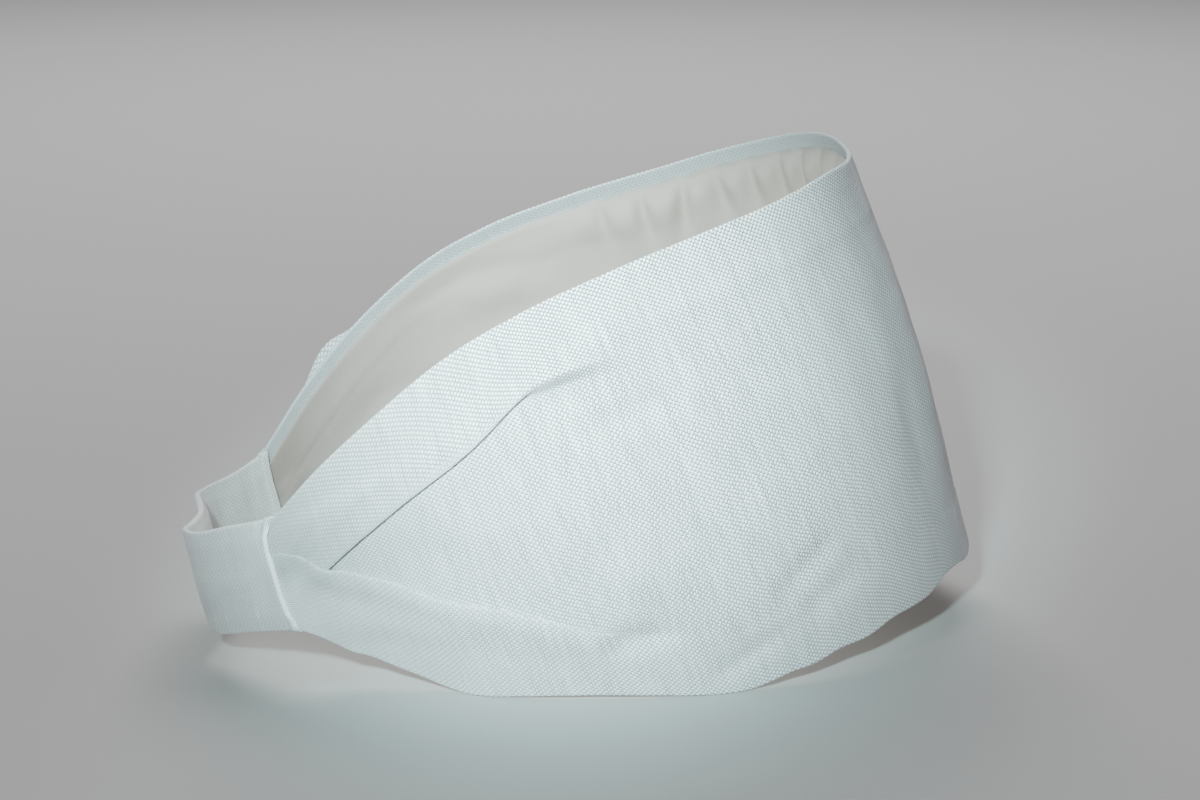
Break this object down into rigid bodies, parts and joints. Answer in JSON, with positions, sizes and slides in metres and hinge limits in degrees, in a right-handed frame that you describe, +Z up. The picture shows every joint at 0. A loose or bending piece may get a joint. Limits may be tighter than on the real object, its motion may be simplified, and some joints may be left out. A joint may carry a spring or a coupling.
{
  "type": "wide fabric headband with an elastic back",
  "caption": "Wide linen headband standing on its lower edge, tucked at both ends into a narrow elastic casing, open through the middle for a head.",
  "frame": {"origin": "middle of the whole headband's box, on the surface that it stands on", "axes": "+X towards the front of the head, which is the longest way, +Z up"},
  "size_m": [0.2361, 0.1326, 0.1405],
  "materials": {
    "panel_linen": "white plain-weave linen with slubs, matt",
    "lining_cotton": "warm white fine cotton, matt",
    "casing_linen": "white linen tube over elastic, matt"
  },
  "bodies": {
    "root": {"linen_panel": "panel_linen", "cotton_lining": "lining_cotton", "elastic_casing": "casing_linen"}
  },
  "joints": []
}
